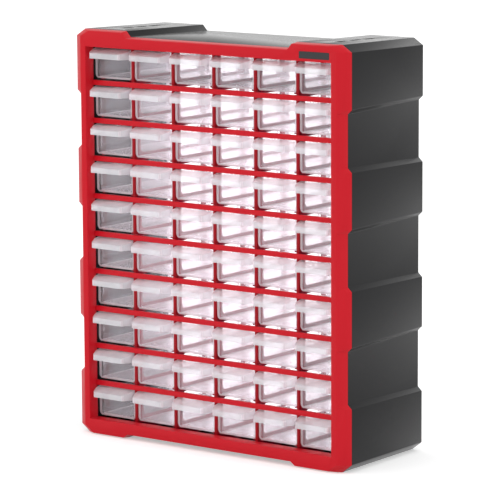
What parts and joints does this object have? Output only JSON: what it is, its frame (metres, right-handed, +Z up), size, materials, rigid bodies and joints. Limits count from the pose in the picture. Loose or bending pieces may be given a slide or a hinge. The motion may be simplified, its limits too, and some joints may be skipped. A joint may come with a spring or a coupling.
{
  "type": "parts bin cabinet",
  "caption": "Free-standing cabinet of small clear drawers in a grid, with a red front frame and an open-backed black shell with stepped sides.",
  "frame": {"origin": "middle of the footprint, on the plane that the four feet stand on", "axes": "+X to the right as seen from the front, +Y from the front to the back, +Z up"},
  "size_m": [0.38, 0.15, 0.4646],
  "materials": {
    "shell_plastic": "fine moulded texture, satin",
    "frame_plastic": "fine moulded texture, half gloss",
    "divider_plastic": "smooth, satin",
    "drawer_plastic": "clear, polished, a little frosted"
  },
  "bodies": {
    "cabinet": {"shell": "shell_plastic", "front_frame": "frame_plastic", "column_dividers": "divider_plastic"},
    "drawer_r01_c1_body": {"drawer_r01_c1": "drawer_plastic"},
    "drawer_r01_c2_body": {"drawer_r01_c2": "drawer_plastic"},
    "drawer_r01_c3_body": {"drawer_r01_c3": "drawer_plastic"},
    "drawer_r01_c4_body": {"drawer_r01_c4": "drawer_plastic"},
    "drawer_r01_c5_body": {"drawer_r01_c5": "drawer_plastic"},
    "drawer_r01_c6_body": {"drawer_r01_c6": "drawer_plastic"},
    "drawer_r02_c1_body": {"drawer_r02_c1": "drawer_plastic"},
    "drawer_r02_c2_body": {"drawer_r02_c2": "drawer_plastic"},
    "drawer_r02_c3_body": {"drawer_r02_c3": "drawer_plastic"},
    "drawer_r02_c4_body": {"drawer_r02_c4": "drawer_plastic"},
    "drawer_r02_c5_body": {"drawer_r02_c5": "drawer_plastic"},
    "drawer_r02_c6_body": {"drawer_r02_c6": "drawer_plastic"},
    "drawer_r03_c1_body": {"drawer_r03_c1": "drawer_plastic"},
    "drawer_r03_c2_body": {"drawer_r03_c2": "drawer_plastic"},
    "drawer_r03_c3_body": {"drawer_r03_c3": "drawer_plastic"},
    "drawer_r03_c4_body": {"drawer_r03_c4": "drawer_plastic"},
    "drawer_r03_c5_body": {"drawer_r03_c5": "drawer_plastic"},
    "drawer_r03_c6_body": {"drawer_r03_c6": "drawer_plastic"},
    "drawer_r04_c1_body": {"drawer_r04_c1": "drawer_plastic"},
    "drawer_r04_c2_body": {"drawer_r04_c2": "drawer_plastic"},
    "drawer_r04_c3_body": {"drawer_r04_c3": "drawer_plastic"},
    "drawer_r04_c4_body": {"drawer_r04_c4": "drawer_plastic"},
    "drawer_r04_c5_body": {"drawer_r04_c5": "drawer_plastic"},
    "drawer_r04_c6_body": {"drawer_r04_c6": "drawer_plastic"},
    "drawer_r05_c1_body": {"drawer_r05_c1": "drawer_plastic"},
    "drawer_r05_c2_body": {"drawer_r05_c2": "drawer_plastic"},
    "drawer_r05_c3_body": {"drawer_r05_c3": "drawer_plastic"},
    "drawer_r05_c4_body": {"drawer_r05_c4": "drawer_plastic"},
    "drawer_r05_c5_body": {"drawer_r05_c5": "drawer_plastic"},
    "drawer_r05_c6_body": {"drawer_r05_c6": "drawer_plastic"},
    "drawer_r06_c1_body": {"drawer_r06_c1": "drawer_plastic"},
    "drawer_r06_c2_body": {"drawer_r06_c2": "drawer_plastic"},
    "drawer_r06_c3_body": {"drawer_r06_c3": "drawer_plastic"},
    "drawer_r06_c4_body": {"drawer_r06_c4": "drawer_plastic"},
    "drawer_r06_c5_body": {"drawer_r06_c5": "drawer_plastic"},
    "drawer_r06_c6_body": {"drawer_r06_c6": "drawer_plastic"},
    "drawer_r07_c1_body": {"drawer_r07_c1": "drawer_plastic"},
    "drawer_r07_c2_body": {"drawer_r07_c2": "drawer_plastic"},
    "drawer_r07_c3_body": {"drawer_r07_c3": "drawer_plastic"},
    "drawer_r07_c4_body": {"drawer_r07_c4": "drawer_plastic"},
    "drawer_r07_c5_body": {"drawer_r07_c5": "drawer_plastic"},
    "drawer_r07_c6_body": {"drawer_r07_c6": "drawer_plastic"},
    "drawer_r08_c1_body": {"drawer_r08_c1": "drawer_plastic"},
    "drawer_r08_c2_body": {"drawer_r08_c2": "drawer_plastic"},
    "drawer_r08_c3_body": {"drawer_r08_c3": "drawer_plastic"},
    "drawer_r08_c4_body": {"drawer_r08_c4": "drawer_plastic"},
    "drawer_r08_c5_body": {"drawer_r08_c5": "drawer_plastic"},
    "drawer_r08_c6_body": {"drawer_r08_c6": "drawer_plastic"},
    "drawer_r09_c1_body": {"drawer_r09_c1": "drawer_plastic"},
    "drawer_r09_c2_body": {"drawer_r09_c2": "drawer_plastic"},
    "drawer_r09_c3_body": {"drawer_r09_c3": "drawer_plastic"},
    "drawer_r09_c4_body": {"drawer_r09_c4": "drawer_plastic"},
    "drawer_r09_c5_body": {"drawer_r09_c5": "drawer_plastic"},
    "drawer_r09_c6_body": {"drawer_r09_c6": "drawer_plastic"},
    "drawer_pair_r10_c1_c2_body": {"drawer_pair_r10_c1_c2": "drawer_plastic"},
    "drawer_pair_r10_c3_c4_body": {"drawer_pair_r10_c3_c4": "drawer_plastic"},
    "drawer_pair_r10_c5_c6_body": {"drawer_pair_r10_c5_c6": "drawer_plastic"}
  },
  "joints": [
    {"name": "slide_r01_c1", "type": "slide", "parent": "cabinet", "child": "drawer_r01_c1_body", "axis": [0, -1, 0], "range_m": [0, 0.124]},
    {"name": "slide_r01_c2", "type": "slide", "parent": "cabinet", "child": "drawer_r01_c2_body", "axis": [0, -1, 0], "range_m": [0, 0.124]},
    {"name": "slide_r01_c3", "type": "slide", "parent": "cabinet", "child": "drawer_r01_c3_body", "axis": [0, -1, 0], "range_m": [0, 0.124]},
    {"name": "slide_r01_c4", "type": "slide", "parent": "cabinet", "child": "drawer_r01_c4_body", "axis": [0, -1, 0], "range_m": [0, 0.124]},
    {"name": "slide_r01_c5", "type": "slide", "parent": "cabinet", "child": "drawer_r01_c5_body", "axis": [0, -1, 0], "range_m": [0, 0.124]},
    {"name": "slide_r01_c6", "type": "slide", "parent": "cabinet", "child": "drawer_r01_c6_body", "axis": [0, -1, 0], "range_m": [0, 0.124]},
    {"name": "slide_r02_c1", "type": "slide", "parent": "cabinet", "child": "drawer_r02_c1_body", "axis": [0, -1, 0], "range_m": [0, 0.124]},
    {"name": "slide_r02_c2", "type": "slide", "parent": "cabinet", "child": "drawer_r02_c2_body", "axis": [0, -1, 0], "range_m": [0, 0.124]},
    {"name": "slide_r02_c3", "type": "slide", "parent": "cabinet", "child": "drawer_r02_c3_body", "axis": [0, -1, 0], "range_m": [0, 0.124]},
    {"name": "slide_r02_c4", "type": "slide", "parent": "cabinet", "child": "drawer_r02_c4_body", "axis": [0, -1, 0], "range_m": [0, 0.124]},
    {"name": "slide_r02_c5", "type": "slide", "parent": "cabinet", "child": "drawer_r02_c5_body", "axis": [0, -1, 0], "range_m": [0, 0.124]},
    {"name": "slide_r02_c6", "type": "slide", "parent": "cabinet", "child": "drawer_r02_c6_body", "axis": [0, -1, 0], "range_m": [0, 0.124]},
    {"name": "slide_r03_c1", "type": "slide", "parent": "cabinet", "child": "drawer_r03_c1_body", "axis": [0, -1, 0], "range_m": [0, 0.124]},
    {"name": "slide_r03_c2", "type": "slide", "parent": "cabinet", "child": "drawer_r03_c2_body", "axis": [0, -1, 0], "range_m": [0, 0.124]},
    {"name": "slide_r03_c3", "type": "slide", "parent": "cabinet", "child": "drawer_r03_c3_body", "axis": [0, -1, 0], "range_m": [0, 0.124]},
    {"name": "slide_r03_c4", "type": "slide", "parent": "cabinet", "child": "drawer_r03_c4_body", "axis": [0, -1, 0], "range_m": [0, 0.124]},
    {"name": "slide_r03_c5", "type": "slide", "parent": "cabinet", "child": "drawer_r03_c5_body", "axis": [0, -1, 0], "range_m": [0, 0.124]},
    {"name": "slide_r03_c6", "type": "slide", "parent": "cabinet", "child": "drawer_r03_c6_body", "axis": [0, -1, 0], "range_m": [0, 0.124]},
    {"name": "slide_r04_c1", "type": "slide", "parent": "cabinet", "child": "drawer_r04_c1_body", "axis": [0, -1, 0], "range_m": [0, 0.124]},
    {"name": "slide_r04_c2", "type": "slide", "parent": "cabinet", "child": "drawer_r04_c2_body", "axis": [0, -1, 0], "range_m": [0, 0.124]},
    {"name": "slide_r04_c3", "type": "slide", "parent": "cabinet", "child": "drawer_r04_c3_body", "axis": [0, -1, 0], "range_m": [0, 0.124]},
    {"name": "slide_r04_c4", "type": "slide", "parent": "cabinet", "child": "drawer_r04_c4_body", "axis": [0, -1, 0], "range_m": [0, 0.124]},
    {"name": "slide_r04_c5", "type": "slide", "parent": "cabinet", "child": "drawer_r04_c5_body", "axis": [0, -1, 0], "range_m": [0, 0.124]},
    {"name": "slide_r04_c6", "type": "slide", "parent": "cabinet", "child": "drawer_r04_c6_body", "axis": [0, -1, 0], "range_m": [0, 0.124]},
    {"name": "slide_r05_c1", "type": "slide", "parent": "cabinet", "child": "drawer_r05_c1_body", "axis": [0, -1, 0], "range_m": [0, 0.124]},
    {"name": "slide_r05_c2", "type": "slide", "parent": "cabinet", "child": "drawer_r05_c2_body", "axis": [0, -1, 0], "range_m": [0, 0.124]},
    {"name": "slide_r05_c3", "type": "slide", "parent": "cabinet", "child": "drawer_r05_c3_body", "axis": [0, -1, 0], "range_m": [0, 0.124]},
    {"name": "slide_r05_c4", "type": "slide", "parent": "cabinet", "child": "drawer_r05_c4_body", "axis": [0, -1, 0], "range_m": [0, 0.124]},
    {"name": "slide_r05_c5", "type": "slide", "parent": "cabinet", "child": "drawer_r05_c5_body", "axis": [0, -1, 0], "range_m": [0, 0.124]},
    {"name": "slide_r05_c6", "type": "slide", "parent": "cabinet", "child": "drawer_r05_c6_body", "axis": [0, -1, 0], "range_m": [0, 0.124]},
    {"name": "slide_r06_c1", "type": "slide", "parent": "cabinet", "child": "drawer_r06_c1_body", "axis": [0, -1, 0], "range_m": [0, 0.124]},
    {"name": "slide_r06_c2", "type": "slide", "parent": "cabinet", "child": "drawer_r06_c2_body", "axis": [0, -1, 0], "range_m": [0, 0.124]},
    {"name": "slide_r06_c3", "type": "slide", "parent": "cabinet", "child": "drawer_r06_c3_body", "axis": [0, -1, 0], "range_m": [0, 0.124]},
    {"name": "slide_r06_c4", "type": "slide", "parent": "cabinet", "child": "drawer_r06_c4_body", "axis": [0, -1, 0], "range_m": [0, 0.124]},
    {"name": "slide_r06_c5", "type": "slide", "parent": "cabinet", "child": "drawer_r06_c5_body", "axis": [0, -1, 0], "range_m": [0, 0.124]},
    {"name": "slide_r06_c6", "type": "slide", "parent": "cabinet", "child": "drawer_r06_c6_body", "axis": [0, -1, 0], "range_m": [0, 0.124]},
    {"name": "slide_r07_c1", "type": "slide", "parent": "cabinet", "child": "drawer_r07_c1_body", "axis": [0, -1, 0], "range_m": [0, 0.124]},
    {"name": "slide_r07_c2", "type": "slide", "parent": "cabinet", "child": "drawer_r07_c2_body", "axis": [0, -1, 0], "range_m": [0, 0.124]},
    {"name": "slide_r07_c3", "type": "slide", "parent": "cabinet", "child": "drawer_r07_c3_body", "axis": [0, -1, 0], "range_m": [0, 0.124]},
    {"name": "slide_r07_c4", "type": "slide", "parent": "cabinet", "child": "drawer_r07_c4_body", "axis": [0, -1, 0], "range_m": [0, 0.124]},
    {"name": "slide_r07_c5", "type": "slide", "parent": "cabinet", "child": "drawer_r07_c5_body", "axis": [0, -1, 0], "range_m": [0, 0.124]},
    {"name": "slide_r07_c6", "type": "slide", "parent": "cabinet", "child": "drawer_r07_c6_body", "axis": [0, -1, 0], "range_m": [0, 0.124]},
    {"name": "slide_r08_c1", "type": "slide", "parent": "cabinet", "child": "drawer_r08_c1_body", "axis": [0, -1, 0], "range_m": [0, 0.124]},
    {"name": "slide_r08_c2", "type": "slide", "parent": "cabinet", "child": "drawer_r08_c2_body", "axis": [0, -1, 0], "range_m": [0, 0.124]},
    {"name": "slide_r08_c3", "type": "slide", "parent": "cabinet", "child": "drawer_r08_c3_body", "axis": [0, -1, 0], "range_m": [0, 0.124]},
    {"name": "slide_r08_c4", "type": "slide", "parent": "cabinet", "child": "drawer_r08_c4_body", "axis": [0, -1, 0], "range_m": [0, 0.124]},
    {"name": "slide_r08_c5", "type": "slide", "parent": "cabinet", "child": "drawer_r08_c5_body", "axis": [0, -1, 0], "range_m": [0, 0.124]},
    {"name": "slide_r08_c6", "type": "slide", "parent": "cabinet", "child": "drawer_r08_c6_body", "axis": [0, -1, 0], "range_m": [0, 0.124]},
    {"name": "slide_r09_c1", "type": "slide", "parent": "cabinet", "child": "drawer_r09_c1_body", "axis": [0, -1, 0], "range_m": [0, 0.124]},
    {"name": "slide_r09_c2", "type": "slide", "parent": "cabinet", "child": "drawer_r09_c2_body", "axis": [0, -1, 0], "range_m": [0, 0.124]},
    {"name": "slide_r09_c3", "type": "slide", "parent": "cabinet", "child": "drawer_r09_c3_body", "axis": [0, -1, 0], "range_m": [0, 0.124]},
    {"name": "slide_r09_c4", "type": "slide", "parent": "cabinet", "child": "drawer_r09_c4_body", "axis": [0, -1, 0], "range_m": [0, 0.124]},
    {"name": "slide_r09_c5", "type": "slide", "parent": "cabinet", "child": "drawer_r09_c5_body", "axis": [0, -1, 0], "range_m": [0, 0.124]},
    {"name": "slide_r09_c6", "type": "slide", "parent": "cabinet", "child": "drawer_r09_c6_body", "axis": [0, -1, 0], "range_m": [0, 0.124]},
    {"name": "slide_r10_c1_c2", "type": "slide", "parent": "cabinet", "child": "drawer_pair_r10_c1_c2_body", "axis": [0, -1, 0], "range_m": [0, 0.124]},
    {"name": "slide_r10_c3_c4", "type": "slide", "parent": "cabinet", "child": "drawer_pair_r10_c3_c4_body", "axis": [0, -1, 0], "range_m": [0, 0.124]},
    {"name": "slide_r10_c5_c6", "type": "slide", "parent": "cabinet", "child": "drawer_pair_r10_c5_c6_body", "axis": [0, -1, 0], "range_m": [0, 0.124]}
  ]
}
